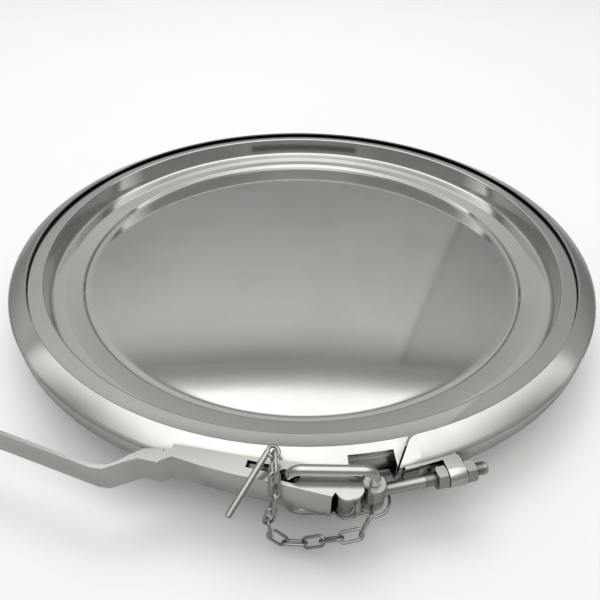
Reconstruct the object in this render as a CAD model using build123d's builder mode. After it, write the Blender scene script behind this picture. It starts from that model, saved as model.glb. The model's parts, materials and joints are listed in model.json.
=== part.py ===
"""Round tank manway cover with a lever-lock clamp.

A weld-in neck carries a gasket and a dished cover.  A split V-section clamp holds the two rims
together.  An over-centre lever on one end of the clamp pulls a looped link, which pulls an
adjustable eye bolt held by a strap lug on the other end.  A short chain keeps the split pin that
locks the lever.

Frame: +Z is the neck axis, z = 0 is the neck's lower end, and the clamp's split faces -Y.
Bearings are measured in plan from -Y towards +X, in degrees.
"""
import os
from math import atan2, cos, degrees, hypot, radians, sin, tan

from build123d import *

os.makedirs("parts", exist_ok=True)

# ---------------------------------------------------------------- driving dimensions, millimetres
RIM_RADIUS = 268.0           # outside radius of the cover's rim and the neck flange
RIM_SEAT = 0.08              # paper gap between rims and clamp flanges
RIM_WIDTH = 18.5             # cover's flat rim, from its edge in to the step
COVER_SHEET = 2.5
STEP_DEPTH = 21.0
STEP_ROUND = 3.5
STEP_LIP_ROUND = 1.6         # fillet between the flat rim and the step
LEDGE_WIDTH = 27.5           # from the step in to the bead
LEDGE_FALL = 4.5
BEAD_DROP = 3.0
BEAD_WIDTH = 6.0             # from the bead in to the dish
DISH_RISE = 10.0

LIP_REACH = 5.0              # how far the clamp's flanges reach in over the rim
LIP_TOP = 58.0
CLAMP_SHEET = 2.0
CLAMP_SLOPE = 24.0           # flange angle from horizontal
CLAMP_STAND = 11.0           # clamp's wall outside the rim
CLAMP_MIDDLE = 43.0          # height of the clamp's middle plane
SHOULDER = 2.4               # rounding between the clamp's flange and wall
BEAD_GROOVE = 1.0            # groove between the rolled flange edge and the wall
SPLIT_WIDTH = 1.2
SPLIT_INNER = (71.0, -25.0)  # the split runs slightly askew through these two points
SPLIT_OUTER = (62.0, -6.0)
NOTCH_START = 31.0           # x where the clamp's outer part is cut away for the latch
NOTCH_GAP = 1.0              # the notch stops this far outside the rim

GASKET_THICKNESS = 3.0
GASKET_WIDTH = 14.0

NECK_GAP = 0.4               # between the cover's step and the neck
NECK_WALL = 3.0
NECK_EDGE = 7.0              # height of the neck flange's outer edge
NECK_RECESS = 1.5            # the flange's lower edge is turned down by this much

PIVOT = (28.0, 13.0)       # lever pivot in plan
LINK_LEFT = (-6.0, 5.5)   # link leg in the lever, in plan
LINK_RIGHT = (45.5, 5.5)  # link leg in the eye bolt, in plan
PIVOT_PIN_RADIUS = 4.0
PIVOT_BARREL_RADIUS = 6.5
BRACKET_DEPTH = 10.5         # height of the bracket's web
SPLIT_ROUND = 9.0            # rounded flange corner at the split
RUNNING_GAP = 0.1            # radial clearance of a pin in its hole
SIDE_GAP = 0.5               # end clearance between lever flanges and bracket barrel

LEVER_TOP = 59.0
LEVER_HEIGHT = 22.5
LEVER_SHEET = 2.5
LEVER_EAR = 7.0              # end radius of the lever about its pivot
LEVER_NOSE = 3.0             # how far the rounded end reaches past the pivot
HANDLE_HEIGHT = 21.5
HANDLE_THICKNESS = 3.0
LOCK_SLOT = (-25.0, -1.0)
LOCK_SLOT_SIZE = (14.0, 5.0)
LINK_SLOT_TRAVEL = 5.1       # how far the link leg slides along the lever's slot
LINK_SLOT_INSET = 2.5        # part of that travel on the pivot side
LEVER_CLEARANCE = 2.0        # between the lever's lower flange and the clamp wall

LINK_ROD = 6.4
LINK_BEND = 8.0
LINK_TOP = 66.0
LINK_BOTTOM = 21.0
LINK_SLOT_GAP = 0.8

BOLT_ANGLE = 13.9            # direction of the eye bolt in plan, from +X
BOLT_HEIGHT = 43.0
BOLT_SHANK_RADIUS = 3.6
BOLT_THREAD_RADIUS = 3.95
BOLT_THREAD_DEPTH = 0.55
BOLT_PITCH = 1.25
BOLT_THREAD_START = 33.0
BOLT_LENGTH = 76.0
EYE_RADIUS = 7.25
EYE_HEIGHT = 20.0
NUT_FLATS = 13.0
NUT_THICKNESS = 7.0
NUT_CHAMFER = 30.0
NUT_BORE = 4.05
KNUCKLE_START = 48.0
KNUCKLE_LENGTH = 11.5
KNUCKLE_RADIUS = 7.2
KNUCKLE_BORE = 4.5
KNUCKLE_GAP = 0.3            # nut face to knuckle
LUG_SHEET = 2.0
LUG_HEIGHT = 14.4
LUG_START = 13.6             # bearing of the strap's free end

LOCK_TAB = (12.0, 2.0, 11.0)
LOCK_TAB_HOLE = 2.3

CHAIN_WIRE = 1.8
CHAIN_PITCH = 12.6
CHAIN_WIDTH = 8.0
CHAIN_SLACK = 0.7
CHAIN_LINKS = 11
RING_RADIUS = 11.0           # ring round the eye, to the wire's centre
RING_RISE = 0.5              # ring's wire above the eye's lower end
PIN_RADIUS = 1.9
PIN_LENGTH = 42.0
PIN_EYE = 3.4                # radius of the pin's eye, to the wire's centre
PIN_EYE_WIRE = 1.2
PIN_TIP = (-39.5, 29.0, 55.5)

# ---------------------------------------------------------------- derived sizes
LIP_RADIUS = RIM_RADIUS - LIP_REACH
CLAMP_RADIUS = RIM_RADIUS + CLAMP_STAND
NOTCH_RADIUS = RIM_RADIUS + NOTCH_GAP
STEP_RADIUS = RIM_RADIUS - RIM_WIDTH
LEDGE_RADIUS = STEP_RADIUS - LEDGE_WIDTH
DISH_RADIUS = LEDGE_RADIUS - BEAD_WIDTH
SLOPE = tan(radians(CLAMP_SLOPE))
RING_HEIGHT = BOLT_HEIGHT - EYE_HEIGHT / 2 + CHAIN_WIRE / 2 + RING_RISE
SHEET_DROP = CLAMP_SHEET / cos(radians(CLAMP_SLOPE))
RIM_TOP = LIP_TOP - SHEET_DROP - LIP_REACH * SLOPE - RIM_SEAT
COVER_BASE = RIM_TOP - COVER_SHEET
SEAL_FACE = COVER_BASE - GASKET_THICKNESS
NECK_INSIDE = STEP_RADIUS + COVER_SHEET + NECK_GAP
NECK_OUTSIDE = NECK_INSIDE + NECK_WALL
LEVER_BOTTOM = LEVER_TOP - LEVER_HEIGHT
CLAMP_INSIDE = CLAMP_RADIUS - CLAMP_SHEET


def outside(points):
    """Plan points given as x and distance outside the clamp's wall line, turned into x and y."""
    return [(p[0], -CLAMP_RADIUS - p[1], *p[2:]) for p in points]


SPLIT_INNER, SPLIT_OUTER, PIVOT, LINK_LEFT, LINK_RIGHT, LOCK_SLOT, PIN_TIP = outside(
    (SPLIT_INNER, SPLIT_OUTER, PIVOT, LINK_LEFT, LINK_RIGHT, LOCK_SLOT, PIN_TIP))
BOLT = Vector(cos(radians(BOLT_ANGLE)), sin(radians(BOLT_ANGLE)), 0)
EYE = Vector(*LINK_RIGHT, BOLT_HEIGHT)


def mirror_height(z):
    """Height of the mirror image about the clamp's middle plane."""
    return 2 * CLAMP_MIDDLE - z


def bearing(point):
    """Bearing of a plan point, from -Y towards +X."""
    return degrees(atan2(point[0], -point[1]))


def at_bearing(radius, angle):
    """Plan point at a radius and a bearing."""
    return (radius * sin(radians(angle)), -radius * cos(radians(angle)))


def bolt_plane(distance):
    """Plane across the eye bolt; its normal points along the bolt and its y is up."""
    return Plane(origin=EYE + BOLT * distance, x_dir=Vector(BOLT.Y, -BOLT.X, 0), z_dir=BOLT)


def strip(points, thickness):
    """Plan outline of a bent strip; the given points lie on its outer (left-hand) face."""
    inner = []
    for i, p in enumerate(points):
        a = points[max(i - 1, 0)]
        b = points[min(i + 1, len(points) - 1)]
        size = hypot(b[0] - a[0], b[1] - a[1])
        inner.append((p[0] - (a[1] - b[1]) / size * -thickness, p[1] + (a[0] - b[0]) / size * thickness))
    return points + inner[::-1]


def save(part, name):
    """Label a finished piece and write it as one STEP file."""
    part.label = name
    export_step(part, f"parts/{name}.step")


# ---------------------------------------------------------------- neck, gasket and cover
with BuildPart() as neck_ring:
    with BuildSketch(Plane.XZ):
        with BuildLine():
            edge_low = SEAL_FACE - NECK_EDGE
            turned = RIM_RADIUS - NECK_RECESS
            cone_low = mirror_height(LIP_TOP - SHEET_DROP) + RIM_SEAT
            Polyline(
                (NECK_INSIDE, 0),
                (NECK_OUTSIDE, 0),
                (NECK_OUTSIDE, cone_low - 5),
                (NECK_OUTSIDE + 2, cone_low - 1),
                (LIP_RADIUS, cone_low),
                (turned, cone_low + (turned - LIP_RADIUS) * SLOPE),
                (turned, edge_low - NECK_RECESS),
                (RIM_RADIUS, edge_low),
                (RIM_RADIUS, SEAL_FACE - 0.5),
                (RIM_RADIUS - 0.5, SEAL_FACE),
                (NECK_INSIDE, SEAL_FACE),
                close=True,
            )
        make_face()
    revolve(axis=Axis.Z)
save(neck_ring.part, "neck_ring")

with BuildPart() as gasket:
    with BuildSketch(Plane.XZ):
        with Locations((RIM_RADIUS - 0.6 - GASKET_WIDTH / 2, SEAL_FACE + GASKET_THICKNESS / 2)):
            section = Rectangle(GASKET_WIDTH, GASKET_THICKNESS)
        fillet(section.vertices(), 0.6)
    revolve(axis=Axis.Z)
save(gasket.part, "gasket")

STEP_FOOT = RIM_TOP - STEP_DEPTH
BEAD_TOP = STEP_FOOT - LEDGE_FALL
DISH_EDGE = BEAD_TOP - BEAD_DROP
dome_radius = (DISH_RADIUS ** 2 + DISH_RISE ** 2) / (2 * DISH_RISE)
dome_fall = dome_radius - (dome_radius ** 2 - (DISH_RADIUS / 2) ** 2) ** 0.5
with BuildPart() as cover:
    with BuildSketch(Plane.XZ) as cover_section:
        with BuildLine():
            wall = STEP_RADIUS + COVER_SHEET
            top = Polyline(
                (0, DISH_EDGE + DISH_RISE - COVER_SHEET),
                (0, DISH_EDGE + DISH_RISE),
            )
            dome = ThreePointArc(
                (0, DISH_EDGE + DISH_RISE),
                (DISH_RADIUS / 2, DISH_EDGE + DISH_RISE - dome_fall),
                (DISH_RADIUS, DISH_EDGE),
            )
            Polyline(
                (DISH_RADIUS, DISH_EDGE),
                (LEDGE_RADIUS - 2, DISH_EDGE + 0.4),
                (LEDGE_RADIUS, BEAD_TOP),
                (STEP_RADIUS - 12, STEP_FOOT - 1.2),
                (STEP_RADIUS - 0.6, STEP_FOOT),
                (STEP_RADIUS, RIM_TOP),
                (RIM_RADIUS - 0.4, RIM_TOP),
                (RIM_RADIUS, RIM_TOP - 0.4),
                (RIM_RADIUS, COVER_BASE),
                (wall, COVER_BASE),
                (wall, STEP_FOOT - COVER_SHEET),
                (STEP_RADIUS - 12, STEP_FOOT - 1.2 - COVER_SHEET),
                (LEDGE_RADIUS + 0.8, BEAD_TOP - COVER_SHEET),
                (LEDGE_RADIUS - 1.2, DISH_EDGE + 0.4 - COVER_SHEET),
                (DISH_RADIUS, DISH_EDGE - COVER_SHEET),
            )
            ThreePointArc(
                (DISH_RADIUS, DISH_EDGE - COVER_SHEET),
                (DISH_RADIUS / 2, DISH_EDGE + DISH_RISE - dome_fall - COVER_SHEET),
                (0, DISH_EDGE + DISH_RISE - COVER_SHEET),
            )
        make_face()
        corners = cover_section.vertices()
        inner_foot = corners.filter_by_position(Axis.X, STEP_RADIUS - 0.7, STEP_RADIUS - 0.5)
        inner_top = corners.filter_by_position(Axis.X, STEP_RADIUS - 0.01, STEP_RADIUS + 0.01)
        fillet(inner_foot, STEP_ROUND)
        fillet(inner_top, STEP_LIP_ROUND)
        outer_foot = cover_section.vertices().filter_by_position(Axis.X, wall - 0.01, wall + 0.01)
        fillet(outer_foot.sort_by(Axis.Y)[:1], STEP_ROUND)
    revolve(axis=Axis.Z)
save(cover.part, "cover")

# ---------------------------------------------------------------- clamp
with BuildPart() as clamp_band:
    shoulder = CLAMP_RADIUS - SHOULDER
    shoulder_z = LIP_TOP - (shoulder - LIP_RADIUS) * SLOPE
    upper_outer = [
        (LIP_RADIUS, LIP_TOP - 0.5),
        (LIP_RADIUS + 0.6, LIP_TOP - 0.1),
        (shoulder, shoulder_z),
        (CLAMP_RADIUS, shoulder_z - 1.6),
        (CLAMP_RADIUS - BEAD_GROOVE, shoulder_z - 2.3),
        (CLAMP_RADIUS, shoulder_z - 3.0),
    ]
    upper_inner = [
        (LIP_RADIUS, LIP_TOP - SHEET_DROP),
        (shoulder - 1.6, shoulder_z - SHEET_DROP + 1.6 * SLOPE),
        (CLAMP_INSIDE, shoulder_z - SHEET_DROP - 1.2),
    ]
    lower_outer = [(r, mirror_height(z)) for r, z in upper_outer]
    lower_inner = [(r, mirror_height(z)) for r, z in upper_inner]
    with BuildSketch(Plane.XZ):
        Polygon(*(upper_outer + lower_outer[::-1] + lower_inner + upper_inner[::-1]), align=None)
    revolve(axis=Axis.Z)
    length = hypot(SPLIT_OUTER[0] - SPLIT_INNER[0], SPLIT_OUTER[1] - SPLIT_INNER[1])
    ux = (SPLIT_OUTER[0] - SPLIT_INNER[0]) / length
    uy = (SPLIT_OUTER[1] - SPLIT_INNER[1]) / length
    near = (SPLIT_INNER[0] - 10 * ux, SPLIT_INNER[1] - 10 * uy)
    far = (SPLIT_OUTER[0] + 14 * ux, SPLIT_OUTER[1] + 14 * uy)
    shift = (uy * SPLIT_WIDTH, -ux * SPLIT_WIDTH)
    with BuildSketch(Plane.XY):
        Polygon(near, far, (far[0] + shift[0], far[1] + shift[1]),
                (near[0] + shift[0], near[1] + shift[1]), align=None)
    extrude(amount=LIP_TOP + 10, mode=Mode.SUBTRACT)
    with BuildSketch(Plane.XY):
        with BuildLine():
            a = bearing((NOTCH_START, -(CLAMP_RADIUS ** 2 - NOTCH_START ** 2) ** 0.5))
            b = bearing(SPLIT_OUTER) - 0.1
            Polyline(at_bearing(NOTCH_RADIUS, a), at_bearing(CLAMP_RADIUS + 3, a),
                     at_bearing(CLAMP_RADIUS + 3, b), at_bearing(NOTCH_RADIUS, b))
            ThreePointArc(at_bearing(NOTCH_RADIUS, b), at_bearing(NOTCH_RADIUS, (a + b) / 2),
                          at_bearing(NOTCH_RADIUS, a))
        make_face()
    extrude(amount=LIP_TOP + 10, mode=Mode.SUBTRACT)
    corner = Vector(*SPLIT_INNER)
    lip_way = Vector(*at_bearing(1, bearing(SPLIT_INNER) + 90))
    end_way = Vector(ux, uy)
    half_turn = (lip_way.get_angle(end_way) / 2) * 3.141592653589793 / 180
    middle_way = (lip_way + end_way).normalized()
    run = SPLIT_ROUND / tan(half_turn)
    hub = corner + middle_way * (SPLIT_ROUND / sin(half_turn))
    with BuildSketch(Plane.XY):
        Polygon(*[(p.X, p.Y) for p in (corner - middle_way, corner + lip_way * run - middle_way,
                                       hub, corner + end_way * run)], align=None)
        with Locations((hub.X, hub.Y)):
            Circle(SPLIT_ROUND, mode=Mode.SUBTRACT)
    extrude(amount=LIP_TOP + 10, mode=Mode.SUBTRACT)
save(clamp_band.part, "clamp_band")

with BuildPart() as bolt_lug:
    end = bearing(tuple(EYE + BOLT * (KNUCKLE_START + KNUCKLE_LENGTH))[:2])
    with BuildSketch(Plane.XY.offset(CLAMP_MIDDLE - LUG_HEIGHT / 2)):
        with BuildLine():
            mid = (LUG_START + end) / 2
            outer = CLAMP_RADIUS + LUG_SHEET
            arc = ThreePointArc(at_bearing(CLAMP_RADIUS, LUG_START), at_bearing(CLAMP_RADIUS, mid),
                                at_bearing(CLAMP_RADIUS, end))
            Line(arc @ 1, at_bearing(outer, end))
            back = ThreePointArc(at_bearing(outer, end), at_bearing(outer, mid),
                                 at_bearing(outer, LUG_START))
            Line(back @ 1, arc @ 0)
        make_face()
    extrude(amount=LUG_HEIGHT)
    centre = EYE + BOLT * KNUCKLE_START
    reach = hypot(centre.X, centre.Y) - CLAMP_RADIUS - 0.6
    with BuildSketch(bolt_plane(KNUCKLE_START)):
        Circle(KNUCKLE_RADIUS)
        Polygon((0, KNUCKLE_RADIUS), (0, -KNUCKLE_RADIUS), (-reach, -LUG_HEIGHT / 2),
                (-reach, LUG_HEIGHT / 2), align=None)
        Circle(KNUCKLE_BORE, mode=Mode.SUBTRACT)
    extrude(amount=KNUCKLE_LENGTH)
    with BuildSketch(bolt_plane(BOLT_THREAD_START)):
        Circle(NUT_FLATS / 2 / cos(radians(30)) + 0.4)
    extrude(amount=KNUCKLE_START - BOLT_THREAD_START, mode=Mode.SUBTRACT)
    with BuildSketch(Plane.XY):
        Circle(CLAMP_RADIUS)
    extrude(amount=LIP_TOP + 10, mode=Mode.SUBTRACT)
save(bolt_lug.part, "bolt_lug")

# ---------------------------------------------------------------- lever pivot on the clamp
with BuildPart() as pivot_bracket:
    barrel_low = LEVER_BOTTOM + LEVER_SHEET + SIDE_GAP
    barrel_high = LEVER_TOP - LEVER_SHEET - SIDE_GAP
    with BuildSketch(Plane.XY.offset(barrel_low)):
        with Locations(PIVOT):
            Circle(PIVOT_BARREL_RADIUS)
    extrude(amount=barrel_high - barrel_low)
    with BuildSketch(Plane.XY.offset(barrel_low + 0.5)):
        Polygon((PIVOT[0] - 6.2, PIVOT[1]), (PIVOT[0] + 2.4, PIVOT[1]),
                (PIVOT[0] + 2.4, 9 - CLAMP_RADIUS), (PIVOT[0] - 13, 9 - CLAMP_RADIUS),
                (PIVOT[0] - 13, -2.4 - CLAMP_RADIUS), (PIVOT[0] - 8, -5 - CLAMP_RADIUS), align=None)
    extrude(amount=BRACKET_DEPTH)
    with BuildSketch(Plane.XY):
        Circle(CLAMP_RADIUS)
        with Locations(PIVOT):
            Circle(PIVOT_PIN_RADIUS + RUNNING_GAP)
    extrude(amount=LIP_TOP + 10, mode=Mode.SUBTRACT)
save(pivot_bracket.part, "pivot_bracket")

with BuildPart() as pivot_pin:
    with BuildSketch(Plane.XY.offset(LEVER_BOTTOM - 0.6)):
        with Locations(PIVOT):
            Circle(PIVOT_PIN_RADIUS)
    extrude(amount=LEVER_HEIGHT + 0.6)
    chamfer(pivot_pin.edges().filter_by(GeomType.CIRCLE).sort_by(Axis.Z)[:1], 0.5)
save(pivot_pin.part, "pivot_pin")

with BuildPart() as lock_tab:
    tab_angle = bearing(LOCK_SLOT)
    tab = Plane(origin=(*at_bearing(CLAMP_RADIUS - 0.4, tab_angle), CLAMP_MIDDLE + 2),
                x_dir=Vector(cos(radians(tab_angle)), sin(radians(tab_angle)), 0),
                z_dir=Vector(*at_bearing(1, tab_angle), 0))
    with BuildSketch(tab):
        outline = Rectangle(LOCK_TAB[0], LOCK_TAB[2])
        fillet(outline.vertices().sort_by(Axis.Z)[-2:], 4)
        with Locations((0, 1.6)):
            Circle(LOCK_TAB_HOLE, mode=Mode.SUBTRACT)
    extrude(amount=LOCK_TAB[1] + 0.4)
    with BuildSketch(Plane.XY):
        Circle(CLAMP_RADIUS)
    extrude(amount=LIP_TOP + 10, mode=Mode.SUBTRACT)
save(lock_tab.part, "lock_tab")

# ---------------------------------------------------------------- lever
FACE = outside([(19.0, 18.0), (0.0, 13.4), (-17.6, 9.2), (-41.8, 4.2), (-60.0, -0.8),
        (-78.6, -6.8)])
GRIP = outside([(-86.5, -2.5), (-98.3, -5.0), (-104.5, -2.8), (-117.0, 2.5), (-125.0, 1.6),
        (-150.0, -7.0), (-191.0, -21.5), (-215.0, -29.4), (-238.0, -36.5)])
INNER_EDGE = outside([(-78.6, -15.6), (-60.0, -12.4), (-40.0, -8.8), (-20.0, -6.0), (0.0, -3.8),
              (20.0, 0.0), (31.0, 3.5)])
NOSE = (PIVOT[0] + LEVER_NOSE, PIVOT[1] + LEVER_NOSE / 4)
slot_angle = degrees(atan2(LINK_LEFT[1] - PIVOT[1], LINK_LEFT[0] - PIVOT[0]))
slot_reach = hypot(LINK_LEFT[0] - PIVOT[0], LINK_LEFT[1] - PIVOT[1])
slot_middle = slot_reach - LINK_SLOT_INSET + LINK_SLOT_TRAVEL / 2
slot_centre = (PIVOT[0] + slot_middle * cos(radians(slot_angle)),
               PIVOT[1] + slot_middle * sin(radians(slot_angle)))
with BuildPart() as lever:
    with BuildSketch(Plane.XY.offset(LEVER_BOTTOM)):
        Polygon(*strip(FACE, LEVER_SHEET), align=None)
    extrude(amount=LEVER_HEIGHT)
    with BuildSketch(Plane.XY.offset(LEVER_TOP - LEVER_SHEET)):
        Polygon(*(FACE + INNER_EDGE), align=None)
        with Locations(PIVOT, NOSE):
            Circle(LEVER_EAR)
        Polygon(*outside([(-84.0, -12.2), (-85.2, -2.2), (-98.3, -5.0), (-106.0, -2.2),
                          (-117.0, 2.5), (-104.0, -7.4), (-96.0, -11.8)]), align=None)
        Polygon(*outside([(-78.0, -6.6), (-78.0, -12.4), (-86.0, -9.6), (-86.0, -3.0)]), align=None)
    extrude(amount=LEVER_SHEET)
    with BuildSketch(Plane.XY.offset(LEVER_BOTTOM)):
        Polygon(*(FACE + INNER_EDGE), align=None)
        Circle(CLAMP_RADIUS + LEVER_CLEARANCE, mode=Mode.SUBTRACT)
        with Locations(PIVOT, NOSE):
            Circle(LEVER_EAR)
    extrude(amount=LEVER_SHEET)
    grip_low = LEVER_TOP - LEVER_HEIGHT / 2 - HANDLE_HEIGHT / 2
    with BuildSketch(Plane.XY.offset(grip_low)):
        Polygon(*strip([FACE[-1]] + GRIP, HANDLE_THICKNESS), align=None)
    extrude(amount=HANDLE_HEIGHT)
    with BuildSketch(Plane.XY.offset(grip_low + HANDLE_HEIGHT)):
        Polygon(*strip(GRIP[:4], LEVER_SHEET), align=None)
    extrude(amount=LEVER_TOP - grip_low - HANDLE_HEIGHT)
    with BuildSketch(Plane.XY):
        with Locations(PIVOT):
            Circle(PIVOT_PIN_RADIUS)
        with Locations(Location((*slot_centre, 0), (0, 0, slot_angle))):
            SlotCenterToCenter(LINK_SLOT_TRAVEL, LINK_ROD + 2 * LINK_SLOT_GAP)
        with Locations(Location((*LOCK_SLOT, 0), (0, 0, -12))):
            Rectangle(*LOCK_SLOT_SIZE)
    extrude(amount=LEVER_TOP + 5, mode=Mode.SUBTRACT)
save(lever.part, "lever")

# ---------------------------------------------------------------- looped link
with BuildPart() as link_loop:
    left, right = LINK_LEFT[0], LINK_RIGHT[0]
    span = right - left - 2 * LINK_BEND
    rise = LINK_TOP - LINK_BOTTOM - 2 * LINK_BEND
    for x in (left, right):
        with BuildSketch(Plane((x, LINK_LEFT[1], LINK_BOTTOM + LINK_BEND))):
            Circle(LINK_ROD / 2)
        extrude(amount=rise)
    for z in (LINK_TOP, LINK_BOTTOM):
        run = Plane(origin=(left + LINK_BEND, LINK_LEFT[1], z), z_dir=(1, 0, 0))
        with BuildSketch(run):
            Circle(LINK_ROD / 2)
        extrude(amount=span)
    for x, side in ((left, 1), (right, -1)):
        for z, turn in ((LINK_TOP - LINK_BEND, 1), (LINK_BOTTOM + LINK_BEND, -1)):
            with BuildSketch(Plane((x, LINK_LEFT[1], z))):
                Circle(LINK_ROD / 2)
            centre = Axis((x + side * LINK_BEND, LINK_LEFT[1], z), (0, side * turn, 0))
            revolve(axis=centre, revolution_arc=90)
save(link_loop.part, "link_loop")

# ---------------------------------------------------------------- eye bolt and nuts
with BuildPart() as eye_bolt:
    with BuildSketch(Plane((*LINK_RIGHT, BOLT_HEIGHT - EYE_HEIGHT / 2))):
        Circle(EYE_RADIUS)
    extrude(amount=EYE_HEIGHT)
    chamfer(eye_bolt.edges().filter_by(GeomType.CIRCLE), 0.6)
    shank = Plane(origin=EYE, x_dir=BOLT, z_dir=(BOLT.Y, -BOLT.X, 0))
    crest, root = BOLT_THREAD_RADIUS, BOLT_THREAD_RADIUS - BOLT_THREAD_DEPTH
    profile = [(EYE_RADIUS - 2, 0), (EYE_RADIUS - 2, BOLT_SHANK_RADIUS + 1.4),
               (EYE_RADIUS + 2, BOLT_SHANK_RADIUS), (BOLT_THREAD_START, BOLT_SHANK_RADIUS)]
    s = BOLT_THREAD_START
    hidden = (KNUCKLE_START - NUT_THICKNESS, KNUCKLE_START + KNUCKLE_LENGTH + NUT_THICKNESS)
    while s < BOLT_LENGTH - 2 * BOLT_PITCH:
        if s < hidden[0] or s > hidden[1]:
            profile += [(s + 0.1, crest), (s + 0.35, crest), (s + 0.75, root), (s + 0.95, root)]
        s += BOLT_PITCH
    profile += [(BOLT_LENGTH - 1.2, crest), (BOLT_LENGTH, crest - 1.0), (BOLT_LENGTH, 0)]
    with BuildSketch(shank):
        Polygon(*profile, align=None)
    revolve(axis=Axis(tuple(EYE), tuple(BOLT)))
    with BuildSketch(Plane(LINK_RIGHT)):
        Circle(LINK_ROD / 2 + RUNNING_GAP)
    extrude(amount=LIP_TOP + 10, mode=Mode.SUBTRACT)
save(eye_bolt.part, "eye_bolt")


def hex_nut(start):
    """Hexagon nut on the eye bolt, with chamfered corners on both faces."""
    with BuildPart() as nut:
        with BuildSketch(bolt_plane(start)):
            RegularPolygon(NUT_FLATS / 2, 6, major_radius=False)
        extrude(amount=NUT_THICKNESS)
        corner = NUT_FLATS / 2 / cos(radians(30))
        cut = (corner - NUT_FLATS / 2) * tan(radians(NUT_CHAMFER)) + 0.1
        along = Plane(origin=EYE + BOLT * start, x_dir=BOLT, z_dir=(BOLT.Y, -BOLT.X, 0))
        with BuildSketch(along):
            Polygon((0, 0), (0, NUT_FLATS / 2 - 0.15), (cut, corner), (NUT_THICKNESS - cut, corner),
                    (NUT_THICKNESS, NUT_FLATS / 2 - 0.15), (NUT_THICKNESS, 0), align=None)
        revolve(axis=Axis(tuple(EYE), tuple(BOLT)), mode=Mode.INTERSECT)
        with BuildSketch(bolt_plane(start)):
            Circle(NUT_BORE)
        extrude(amount=NUT_THICKNESS, mode=Mode.SUBTRACT)
    return nut.part


inner_nut = hex_nut(KNUCKLE_START - KNUCKLE_GAP - NUT_THICKNESS)
save(inner_nut, "inner_nut")
outer_nut = hex_nut(KNUCKLE_START + KNUCKLE_LENGTH + KNUCKLE_GAP)
save(outer_nut, "outer_nut")


# ---------------------------------------------------------------- chain and split pin
def oval_link(middle, along, normal, pitch, width, wire):
    """One welded wire link: straight sides along `along`, lying in the plane across `normal`."""
    plane = Plane(origin=middle, x_dir=along, z_dir=normal)
    bend = (width - wire) / 2
    half = pitch / 2 + wire / 2 + CHAIN_SLACK / 2 - bend
    with BuildPart() as link:
        for side in (1, -1):
            start = plane.from_local_coords((-half, side * bend, 0))
            with BuildSketch(Plane(origin=start, z_dir=along)):
                Circle(wire / 2)
            extrude(amount=2 * half)
            pole = plane.from_local_coords((side * half, 0, 0))
            foot = plane.from_local_coords((side * half, -bend, 0))
            with BuildSketch(Plane(origin=foot, z_dir=along)):
                Circle(wire / 2)
            revolve(axis=Axis(tuple(pole), tuple(normal * side)), revolution_arc=180)
    return link.part


with BuildPart() as chain_ring:
    with BuildSketch(Plane(origin=(LINK_RIGHT[0] + RING_RADIUS, LINK_RIGHT[1], RING_HEIGHT),
                           z_dir=(0, 1, 0))):
        Circle(CHAIN_WIRE / 2)
    revolve(axis=Axis((*LINK_RIGHT, 0), (0, 0, 1)))
save(chain_ring.part, "chain_ring")

ROUTE = outside([(44.0, 15.9, 35.3), (41.4, 21.0, 30.4), (37.0, 24.4, 27.6), (26.0, 25.4, 24.6),
         (14.0, 24.0, 18.0), (6.0, 23.0, 13.0), (-1.0, 22.3, 10.2), (-7.5, 21.6, 10.0),
         (-13.0, 21.0, 13.0), (-16.8, 20.5, 18.6), (-18.4, 20.0, 26.0), (-17.6, 19.4, 36.0),
         (-15.4, 18.6, 47.0), (-14.2, 17.4, 54.6), (-13.8, 14.2, 61.8), (-14.3, 8.2, 66.8),
         (-15.0, 0.0, 68.8), (-15.6, -15.0, 68.2)])
route = Spline(*ROUTE)
joints = [route @ 0]
place = 0.0
for _ in range(CHAIN_LINKS):
    low, high = place, min(place + 0.25, 1.0)
    for _ in range(40):
        middle = (low + high) / 2
        if (route @ middle - joints[-1]).length < CHAIN_PITCH:
            low = middle
        else:
            high = middle
    place = low
    joints.append(route @ place)
ring_side = Vector(0.99, -0.15, 0)   # tangent of the ring where the first link hangs
across = ring_side.cross(joints[1] - joints[0])
for i in range(CHAIN_LINKS):
    along = (joints[i + 1] - joints[i]).normalized()
    across = (across - along * across.dot(along)).normalized()
    normal = across if i % 2 else along.cross(across)
    link = oval_link((joints[i] + joints[i + 1]) / 2, along, normal, CHAIN_PITCH, CHAIN_WIDTH,
                     CHAIN_WIRE)
    save(link, f"chain_link_{i + 1:02d}")

with BuildPart() as split_pin:
    end = joints[-1] + along * (CHAIN_WIRE / 2)
    side = normal if normal.X < 0 else normal * -1
    root = end + side * PIN_EYE
    with BuildSketch(Plane(origin=root, z_dir=along)):
        Circle(PIN_EYE_WIRE)
    revolve(axis=Axis(tuple(end), tuple(along.cross(side))))
    aim = (Vector(*PIN_TIP) - root).normalized()
    with BuildSketch(Plane(origin=root, z_dir=aim)):
        Circle(PIN_RADIUS)
    extrude(amount=PIN_LENGTH)
    chamfer(split_pin.faces().sort_by(Axis.Y)[0].edges(), 0.8)
save(split_pin.part, "split_pin")
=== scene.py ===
"""Tank manway cover with a lever-lock clamp, dressed and lit for a studio picture."""
import json
import math

import bmesh
import bpy
from mathutils import Matrix, Vector


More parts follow.
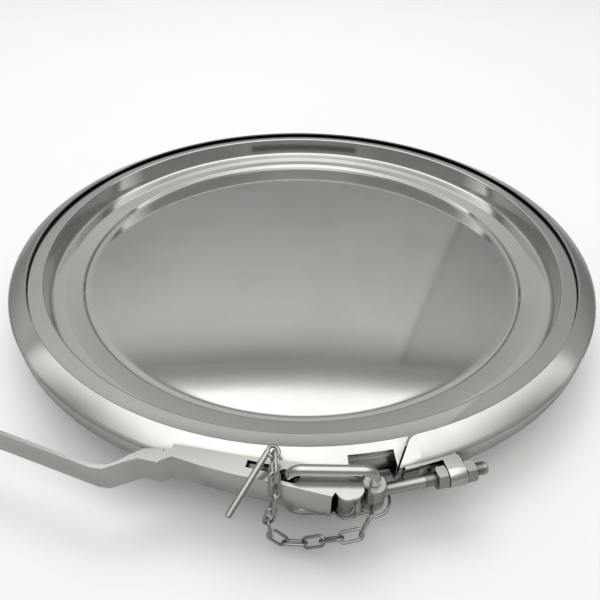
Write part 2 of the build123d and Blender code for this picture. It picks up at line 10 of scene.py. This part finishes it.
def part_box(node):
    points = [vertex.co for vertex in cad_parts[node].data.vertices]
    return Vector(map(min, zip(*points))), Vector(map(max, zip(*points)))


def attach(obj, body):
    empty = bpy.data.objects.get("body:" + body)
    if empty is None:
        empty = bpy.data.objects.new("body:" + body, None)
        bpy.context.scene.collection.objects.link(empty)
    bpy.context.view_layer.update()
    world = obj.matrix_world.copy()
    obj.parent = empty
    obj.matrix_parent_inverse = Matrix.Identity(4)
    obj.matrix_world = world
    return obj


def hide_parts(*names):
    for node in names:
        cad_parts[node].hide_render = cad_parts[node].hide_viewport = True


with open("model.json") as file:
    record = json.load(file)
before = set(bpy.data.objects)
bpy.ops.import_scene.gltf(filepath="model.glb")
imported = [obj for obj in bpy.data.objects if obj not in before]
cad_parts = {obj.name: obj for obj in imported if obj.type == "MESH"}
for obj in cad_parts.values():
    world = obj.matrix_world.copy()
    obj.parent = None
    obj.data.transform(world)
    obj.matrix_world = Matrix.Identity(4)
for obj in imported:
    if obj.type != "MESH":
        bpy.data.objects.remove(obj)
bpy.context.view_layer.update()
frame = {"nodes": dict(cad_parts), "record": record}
nodes = frame["nodes"]

# ---------------------------------------------------------------- view and stage
LIP = Vector((0.0, 0.0, 0.058))      # centre of the clamp's upper opening
LIP_RADIUS = 0.263
CAMERA_AT = LIP + Vector((0.0, -1.702, 1.019)) * LIP_RADIUS
CAMERA_AIM = LIP + Vector((-0.005, -0.451, 0.0)) * LIP_RADIUS
CAMERA_ROLL = math.radians(0.69)
CAMERA_LENS = 30.0

STEEL = (0.72, 0.72, 0.71)
SCRATCH = 0.02                       # roughness that fine scratches add
CREASE = math.radians(32)            # edges sharper than this stay crisp
EASE_STEPS = 2
TURN_STEPS = 384


def look_at(obj, target, roll=0.0):
    """Turn a camera or lamp towards a point."""
    turn = (Vector(target) - obj.location).to_track_quat("-Z", "Y").to_matrix().to_4x4()
    obj.matrix_world = Matrix.Translation(obj.location) @ turn @ Matrix.Rotation(roll, 4, "Z")


# ---------------------------------------------------------------- materials
def steel(name, tint=STEEL, rough=0.1, rough_spread=0.05, smudge=0.1,
          bump=0.0, painted_shade_reach=0.0):
    """Polished stainless steel with smudges, fine scratches and a faint waviness.

    The last argument is the reach, in metres, over which narrow gaps and slots are painted dark, as
    painted shade.
    """
    mat = bpy.data.materials.new(name)
    mat.use_nodes = True
    nt = mat.node_tree
    nd, ln = nt.nodes, nt.links
    bsdf = nd["Principled BSDF"]
    bsdf.inputs["Metallic"].default_value = 1.0
    bsdf.inputs["IOR"].default_value = 2.5
    coord = nd.new("ShaderNodeTexCoord")

    def noise(scale, detail=4.0, stretch=(1, 1, 1)):
        mapping = nd.new("ShaderNodeMapping")
        mapping.inputs["Scale"].default_value = stretch
        ln.new(coord.outputs["Object"], mapping.inputs["Vector"])
        tex = nd.new("ShaderNodeTexNoise")
        tex.inputs["Scale"].default_value = scale
        tex.inputs["Detail"].default_value = detail
        ln.new(mapping.outputs["Vector"], tex.inputs["Vector"])
        return tex.outputs["Fac"]

    def spread(value, low, high, to_low, to_high):
        node = nd.new("ShaderNodeMapRange")
        node.inputs["From Min"].default_value = low
        node.inputs["From Max"].default_value = high
        node.inputs["To Min"].default_value = to_low
        node.inputs["To Max"].default_value = to_high
        ln.new(value, node.inputs["Value"])
        return node.outputs["Result"]

    def add(a, b):
        node = nd.new("ShaderNodeMath")
        node.operation = "ADD"
        ln.new(a, node.inputs[0])
        ln.new(b, node.inputs[1])
        return node.outputs[0]

    clouds = spread(noise(9.0, 5.0), 0.35, 0.7, 0.0, rough_spread)
    lines = spread(noise(420.0, 2.0, (1.0, 0.06, 1.0)), 0.62, 0.75, rough, rough + SCRATCH)
    ln.new(add(clouds, lines), bsdf.inputs["Roughness"])
    mix = nd.new("ShaderNodeMix")
    mix.data_type = "RGBA"
    mix.inputs["A"].default_value = (*tint, 1)
    mix.inputs["B"].default_value = (tint[0] * (1 - smudge), tint[1] * (1 - smudge * 1.05),
                                     tint[2] * (1 - smudge * 1.15), 1)
    ln.new(spread(noise(14.0, 6.0), 0.45, 0.75, 0.0, 1.0), mix.inputs["Factor"])
    colour = mix.outputs["Result"]
    # painted shade: ambient occlusion darkens gaps, slots and recesses towards near-black
    if painted_shade_reach:
        nook = nd.new("ShaderNodeAmbientOcclusion")
        nook.samples = 8
        nook.inputs["Distance"].default_value = painted_shade_reach
        painted_shade = nd.new("ShaderNodeMix")
        painted_shade.data_type = "RGBA"
        painted_shade.inputs["A"].default_value = (0.05, 0.05, 0.048, 1)
        ln.new(spread(nook.outputs["AO"], 0.25, 0.75, 0.0, 1.0), painted_shade.inputs["Factor"])
        ln.new(colour, painted_shade.inputs["B"])
        colour = painted_shade.outputs["Result"]
    ln.new(colour, bsdf.inputs["Base Color"])
    relief = nd.new("ShaderNodeBump")
    relief.inputs["Strength"].default_value = 0.25 if bump else 0.05
    relief.inputs["Distance"].default_value = bump or 0.0002
    ln.new(noise(60.0, 3.0), relief.inputs["Height"])
    ln.new(relief.outputs["Normal"], bsdf.inputs["Normal"])
    return mat


# the last argument of several finishes paints shade into their gaps and slots
MATERIALS = {
    "cover_steel": steel("mirror_steel", rough=0.05, rough_spread=0.05, smudge=0.08),
    "clamp_steel": steel("clamp_steel", rough=0.13, rough_spread=0.08, smudge=0.14, painted_shade_reach=0.015),
    "lever_steel": steel("lever_steel", rough=0.2, rough_spread=0.07, smudge=0.1, painted_shade_reach=0.03),
    "neck_steel": steel("neck_steel", tint=(0.78, 0.78, 0.77), rough=0.25, bump=0.0003),
    "clamp_fitting_steel": steel("fitting_steel", rough=0.14, bump=0.0002, smudge=0.18,
                                 painted_shade_reach=0.006),
    "rod_steel": steel("rod_steel", tint=(0.62, 0.62, 0.61), rough=0.12, smudge=0.15, painted_shade_reach=0.004),
    "bolt_steel": steel("bolt_steel", tint=(0.56, 0.56, 0.54), rough=0.2, bump=0.0002, smudge=0.25,
                        painted_shade_reach=0.004),
    "chain_steel": steel("chain_steel", tint=(0.5, 0.5, 0.49), rough=0.24, smudge=0.3),
}


def silicone():
    """Translucent-white rubber with a matt, slightly dusty face."""
    mat = bpy.data.materials.new("silicone")
    mat.use_nodes = True
    nd, ln = mat.node_tree.nodes, mat.node_tree.links
    bsdf = nd["Principled BSDF"]
    bsdf.inputs["Subsurface Weight"].default_value = 0.1
    tex = nd.new("ShaderNodeTexNoise")
    tex.inputs["Scale"].default_value = 120.0
    ramp = nd.new("ShaderNodeValToRGB")
    ramp.color_ramp.elements[0].color = (0.72, 0.71, 0.68, 1)
    ramp.color_ramp.elements[1].color = (0.84, 0.83, 0.8, 1)
    ln.new(tex.outputs["Fac"], ramp.inputs["Fac"])
    ln.new(ramp.outputs["Color"], bsdf.inputs["Base Color"])
    rough = nd.new("ShaderNodeMapRange")
    rough.inputs["To Min"].default_value = 0.45
    rough.inputs["To Max"].default_value = 0.65
    ln.new(tex.outputs["Fac"], rough.inputs["Value"])
    ln.new(rough.outputs["Result"], bsdf.inputs["Roughness"])
    return mat


MATERIALS["gasket_rubber"] = silicone()
# painted shade: a much darker copy of the fitting steel, which paints the pivot bracket as if it lay
# in shade
SHADED_FITTING_STEEL = steel("shaded_fitting_steel", tint=(0.34, 0.34, 0.33), rough=0.22, bump=0.0002,
                    painted_shade_reach=0.012)


slots = {p["node"]: p["material_slot"] for p in frame["record"]["subparts"]}
for name, obj in nodes.items():
    for index in range(max(1, len(obj.material_slots))):
        if not obj.material_slots:
            obj.data.materials.append(MATERIALS[slots[name]])
        else:
            obj.material_slots[index].link = "OBJECT"
            obj.material_slots[index].material = MATERIALS[slots[name]]


# ---------------------------------------------------------------- finer copies of the solids
def place(obj, node):
    """Show a piece in a solid's place, on the same body, and hide the solid."""
    bpy.context.scene.collection.objects.link(obj)
    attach(obj, obj_body[node])
    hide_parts(node)


obj_body = {n: body for body, members in frame["record"]["behaviour"]["bodies"].items()
            for n in members}


def eased(node, width):
    """The solid's own shape with every crisp edge eased by a small rounding.

    A width of 0 keeps the edges and the facets of a round piece, and only smooths its shading.
    """
    mesh = nodes[node].data.copy()
    mesh.name = node + "_eased"
    bm = bmesh.new()
    bm.from_mesh(mesh)
    bmesh.ops.remove_doubles(bm, verts=bm.verts, dist=1e-6)
    if width:
        bmesh.ops.dissolve_limit(bm, angle_limit=math.radians(0.5), verts=bm.verts, edges=bm.edges)
    sharp = []
    for edge in bm.edges:
        if len(edge.link_faces) == 2 and edge.calc_face_angle() > CREASE:
            sharp.append(edge)
    if width:
        bmesh.ops.bevel(bm, geom=sharp, offset=width, offset_type="OFFSET", segments=EASE_STEPS,
                        profile=0.6, affect="EDGES", clamp_overlap=True)
    for face in bm.faces:
        face.smooth = len(face.verts) <= 6 or not width
    for edge in bm.edges:
        if len(edge.link_faces) == 2:
            edge.smooth = edge.calc_face_angle() < CREASE
    if width:
        bmesh.ops.triangulate(bm, faces=bm.faces)
    bm.to_mesh(mesh)
    bm.free()
    mesh.materials.clear()
    mesh.materials.append(MATERIALS[slots[node]])
    obj = bpy.data.objects.new(node + "_eased", mesh)
    place(obj, node)
    return obj


def rounded(points, radii, steps=6):
    """Profile corners turned into short arcs; a radius of 0 keeps a corner."""
    out = []
    for k, point in enumerate(points):
        radius = radii.get(k, 0.0)
        if not radius:
            out.append(point)
            continue
        p = Vector(point)
        a = Vector(points[k - 1]) - p
        b = Vector(points[(k + 1) % len(points)]) - p
        a.normalize()
        b.normalize()
        half = a.angle(b) / 2
        run = radius / math.tan(half)
        hub = p + (a + b).normalized() * (radius / math.sin(half))
        first = (p + a * run - hub)
        last = (p + b * run - hub)
        for step in range(steps + 1):
            mixed = first.slerp(last, step / steps)
            out.append(tuple(hub + mixed.normalized() * radius))
    return out


def lathe(name, profile, node):
    """Closed profile of (radius, height) turned about the neck's axis."""
    mesh = bpy.data.meshes.new(name)
    count = len(profile)
    verts, faces = [], []
    for k in range(TURN_STEPS):
        turn = 2 * math.pi * k / TURN_STEPS
        verts += [(r * math.cos(turn), r * math.sin(turn), z) for r, z in profile]
    for k in range(TURN_STEPS):
        a, b = k * count, (k + 1) % TURN_STEPS * count
        for m in range(count):
            n = (m + 1) % count
            faces.append((a + m, b + m, b + n, a + n))
    mesh.from_pydata(verts, [], faces)
    bm = bmesh.new()
    bm.from_mesh(mesh)
    bmesh.ops.remove_doubles(bm, verts=bm.verts, dist=1e-7)
    bmesh.ops.dissolve_degenerate(bm, edges=bm.edges, dist=1e-7)
    bmesh.ops.recalc_face_normals(bm, faces=bm.faces)
    for face in bm.faces:
        face.smooth = True
    for edge in bm.edges:
        if len(edge.link_faces) == 2:
            edge.smooth = edge.calc_face_angle() < math.radians(35)
    bm.to_mesh(mesh)
    bm.free()
    mesh.materials.append(MATERIALS[slots[node]])
    obj = bpy.data.objects.new(name, mesh)
    place(obj, node)
    return obj


MM = 0.001
# the cover's section, in mm
SHEET = 2.5
STEP_DEPTH = 21.0         # rim's top down to the step
STEP_FALL = 1.2           # the step falls this much towards the bead
BEAD_DEPTH = 4.5          # step down to the bead's top
DISH_DEPTH = 3.0          # bead's top down to the dish's edge
DISH_RADIUS = 216.0
DISH_RISE = 10.0
FOOT_RADIUS = 220.0       # foot of the bead
FOOT_RISE = 0.4
BEAD_RADIUS = 222.0
STEP_RADIUS = 237.5
WALL_FOOT = 248.9
WALL_TOP = 249.5
RIM_RADIUS = 268.0
RIM_EASE = 0.4


def dome(radius, edge, rise, steps=40):
    """Points down a shallow spherical dish from its middle to its edge."""
    ball = (radius ** 2 + rise ** 2) / (2 * rise)
    return [(radius * k / steps, edge + rise - ball + math.sqrt(ball ** 2 - (radius * k / steps) ** 2))
            for k in range(steps + 1)]


rim_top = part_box("cover")[1][2] / MM
step_foot = rim_top - STEP_DEPTH
bead_top = step_foot - BEAD_DEPTH
dish_edge = bead_top - DISH_DEPTH
top_side = dome(DISH_RADIUS, dish_edge, DISH_RISE)
corner_at = len(top_side)
shown = [(FOOT_RADIUS, dish_edge + FOOT_RISE), (BEAD_RADIUS, bead_top),
         (STEP_RADIUS, step_foot - STEP_FALL), (WALL_FOOT, step_foot), (WALL_TOP, rim_top),
         (RIM_RADIUS - RIM_EASE, rim_top), (RIM_RADIUS, rim_top - RIM_EASE)]
under = [(RIM_RADIUS, rim_top - SHEET), (WALL_TOP + SHEET, rim_top - SHEET),
         (WALL_TOP + SHEET, step_foot - SHEET), (STEP_RADIUS, step_foot - STEP_FALL - SHEET),
         (BEAD_RADIUS + 0.8, bead_top - SHEET), (FOOT_RADIUS - 1.2, dish_edge + FOOT_RISE - SHEET),
         (DISH_RADIUS, dish_edge - SHEET)]
profile = top_side + shown + under + [(r, z - SHEET) for r, z in top_side[::-1][1:]]
# bend radii at the dish's edge, the bead, the step and the wall, and under the wall's top
rounds = {corner_at - 1: 30.0, corner_at: 0.9, corner_at + 1: 0.9, corner_at + 2: 6.0,
          corner_at + 3: 3.5, corner_at + 4: 1.6, corner_at + 9: 3.4}
lathe("cover_sheet", [(r * MM, z * MM) for r, z in rounded(profile, rounds)], "cover")

for name, width in (("lever", 0.00045), ("clamp_band", 0.0003), ("bolt_lug", 0.0004),
                    ("eye_bolt", 0.0), ("inner_nut", 0.0002), ("outer_nut", 0.0002),
                    ("pivot_bracket", 0.0003), ("pivot_pin", 0.0002), ("link_loop", 0.0),
                    ("lock_tab", 0.0002), ("split_pin", 0.0)):
    piece = eased(name, width)
    # the pivot bracket gets the darker steel, as painted shade
    if name == "pivot_bracket":
        piece.data.materials[0] = SHADED_FITTING_STEEL


# ---------------------------------------------------------------- floor, light and camera
def paper():
    """White studio floor, painted mid-grey in the steel's reflections as painted shade."""
    mat = bpy.data.materials.new("paper")
    mat.use_nodes = True
    nd, ln = mat.node_tree.nodes, mat.node_tree.links
    bsdf = nd["Principled BSDF"]
    tex = nd.new("ShaderNodeTexNoise")
    tex.inputs["Scale"].default_value = 30.0
    ramp = nd.new("ShaderNodeValToRGB")
    ramp.color_ramp.elements[0].color = (0.93, 0.935, 0.94, 1)
    ramp.color_ramp.elements[1].color = (0.95, 0.955, 0.96, 1)
    ln.new(tex.outputs["Fac"], ramp.inputs["Fac"])
    # painted shade: rays mirrored by the steel see the floor as mid-grey instead of white
    path = nd.new("ShaderNodeLightPath")
    shade_in_reflection = nd.new("ShaderNodeMix")
    shade_in_reflection.data_type = "RGBA"
    shade_in_reflection.inputs["B"].default_value = (0.42, 0.42, 0.41, 1)
    ln.new(path.outputs["Is Glossy Ray"], shade_in_reflection.inputs["Factor"])
    ln.new(ramp.outputs["Color"], shade_in_reflection.inputs["A"])
    ln.new(shade_in_reflection.outputs["Result"], bsdf.inputs["Base Color"])
    bsdf.inputs["Roughness"].default_value = 0.6
    bsdf.inputs["Specular IOR Level"].default_value = 0.2
    return mat


mesh = bpy.data.meshes.new("floor")
size = 8.0
mesh.from_pydata([(-size, -size, 0), (size, -size, 0), (size, size, 0), (-size, size, 0)], [],
                 [(0, 1, 2, 3)])
floor = bpy.data.objects.new("floor", mesh)
floor.data.materials.append(paper())
floor.location.z = -0.0005
bpy.context.scene.collection.objects.link(floor)

world = bpy.data.worlds.new("studio")
bpy.context.scene.world = world
world.use_nodes = True
wn, wl = world.node_tree.nodes, world.node_tree.links
back = wn["Background"]
coord = wn.new("ShaderNodeTexCoord")
split = wn.new("ShaderNodeSeparateXYZ")
wl.new(coord.outputs["Generated"], split.inputs["Vector"])


def math_node(kind, a, b=None, clamp=False):
    """One maths node in the studio's surroundings."""
    node = wn.new("ShaderNodeMath")
    node.operation = kind
    node.use_clamp = clamp
    for socket, value in zip(node.inputs, (a, b)):
        if isinstance(value, (int, float)):
            socket.default_value = value
        elif value is not None:
            wl.new(value, socket)
    return node.outputs[0]


def grey_ramp(value, stops):
    """Brightness of the surroundings by height, from (place, grey) stops."""
    node = wn.new("ShaderNodeValToRGB")
    elements = node.color_ramp.elements
    while len(elements) < len(stops):
        elements.new(0.5)
    for element, (place, grey) in zip(elements, stops):
        element.position = place
        element.color = (grey, grey * 0.995, grey * 0.965, 1)
    wl.new(value, node.inputs["Fac"])
    return node.outputs["Color"]


# on the far side, height is measured in the plane across the picture, so that the wall's top edge
# is straight
height = math_node("ARCTAN2", split.outputs["Z"], split.outputs["Y"])
far_place = math_node("MULTIPLY", height, 2.0 / math.pi, True)
near_place = math_node("MULTIPLY", math_node("ARCSINE", split.outputs["Z"]), 2.0 / math.pi, True)
far_side = math_node("MULTIPLY", split.outputs["Y"], 3.0, True)
far_grey = grey_ramp(far_place, [
    (0.0, 0.34), (0.10, 0.30), (0.22, 0.345), (0.33, 0.43), (0.40, 0.50), (0.49, 0.59), (0.53, 0.59),
    (0.565, 0.48), (0.583, 0.36), (0.602, 0.27), (0.6035, 0.40), (0.605, 0.40), (0.6065, 0.29),
    (0.620, 0.335), (0.628, 0.43), (0.637, 0.56), (0.646, 0.84), (0.656, 1.38), (0.68, 1.5),
    (1.0, 1.5)])
near_grey = grey_ramp(near_place, [(0.0, 0.32), (0.22, 0.36), (0.42, 0.5), (0.55, 1.1), (0.64, 1.5),
                                   (1.0, 1.5)])
around = wn.new("ShaderNodeMix")
around.data_type = "RGBA"
wl.new(far_side, around.inputs["Factor"])
wl.new(near_grey, around.inputs["A"])
wl.new(far_grey, around.inputs["B"])
# a darker wall to the right, and the dark figure of someone standing at the camera's side
corner = math_node("SUBTRACT", split.outputs["X"], math_node("MULTIPLY", split.outputs["Y"], 0.43))
low = math_node("MULTIPLY", math_node("LESS_THAN", far_place, 0.597), far_side)
right_wall = math_node("MULTIPLY", math_node("MULTIPLY", corner, 300.0, True), low)
sideways = math_node("ABSOLUTE", split.outputs["X"])
slim = math_node("MULTIPLY", math_node("SUBTRACT", 0.46, sideways), 40.0, True)
figure = math_node("MULTIPLY", slim, math_node("LESS_THAN", split.outputs["Y"], -0.55))
figure = math_node("MULTIPLY", figure, math_node("GREATER_THAN", split.outputs["Z"], 0.335))
figure = math_node("MULTIPLY", figure, math_node("LESS_THAN", split.outputs["Z"], 0.375))
shade = math_node("SUBTRACT", 1.0, math_node("MULTIPLY", right_wall, 0.2))
seam = math_node("SUBTRACT", 1.0, math_node("MULTIPLY", math_node("ABSOLUTE", corner), 130.0), True)
seam = math_node("MULTIPLY", seam, low)
shade = math_node("MULTIPLY", shade, math_node("SUBTRACT", 1.0, math_node("MULTIPLY", seam, 0.45)))
aside = math_node("MULTIPLY", math_node("SUBTRACT", sideways, 0.3), 2.8, True)
shade = math_node("MULTIPLY", shade, math_node("SUBTRACT", 1.0, math_node("MULTIPLY", aside, 0.22)))
shade = math_node("MULTIPLY", shade, math_node("SUBTRACT", 1.0, math_node("MULTIPLY", figure, 0.85)))
tint = wn.new("ShaderNodeVectorMath")
tint.operation = "SCALE"
wl.new(around.outputs["Result"], tint.inputs[0])
wl.new(shade, tint.inputs["Scale"])
wl.new(tint.outputs["Vector"], back.inputs["Color"])
back.inputs["Strength"].default_value = 1.0


def lamp(name, at, target, size_x, size_y, power):
    """Rectangular soft light."""
    data = bpy.data.lights.new(name, "AREA")
    data.shape = "RECTANGLE"
    data.size, data.size_y, data.energy = size_x, size_y, power
    obj = bpy.data.objects.new(name, data)
    obj.location = at
    bpy.context.scene.collection.objects.link(obj)
    look_at(obj, target)
    return obj


soft = lamp("ceiling", (-0.2, 0.9, 2.4), (0.0, 0.2, 0.0), 1.6, 1.2, 15)
soft.visible_glossy = False      # the steel mirrors the surroundings, not the lamp's outline

cam_data = bpy.data.cameras.new("view")
cam_data.lens = CAMERA_LENS
cam_data.sensor_width = 36.0
camera = bpy.data.objects.new("view", cam_data)
camera.location = CAMERA_AT
bpy.context.scene.collection.objects.link(camera)
look_at(camera, CAMERA_AIM, CAMERA_ROLL)
bpy.context.scene.camera = camera
bpy.context.scene.view_settings.view_transform = "Standard"
bpy.context.scene.view_settings.look = "None"
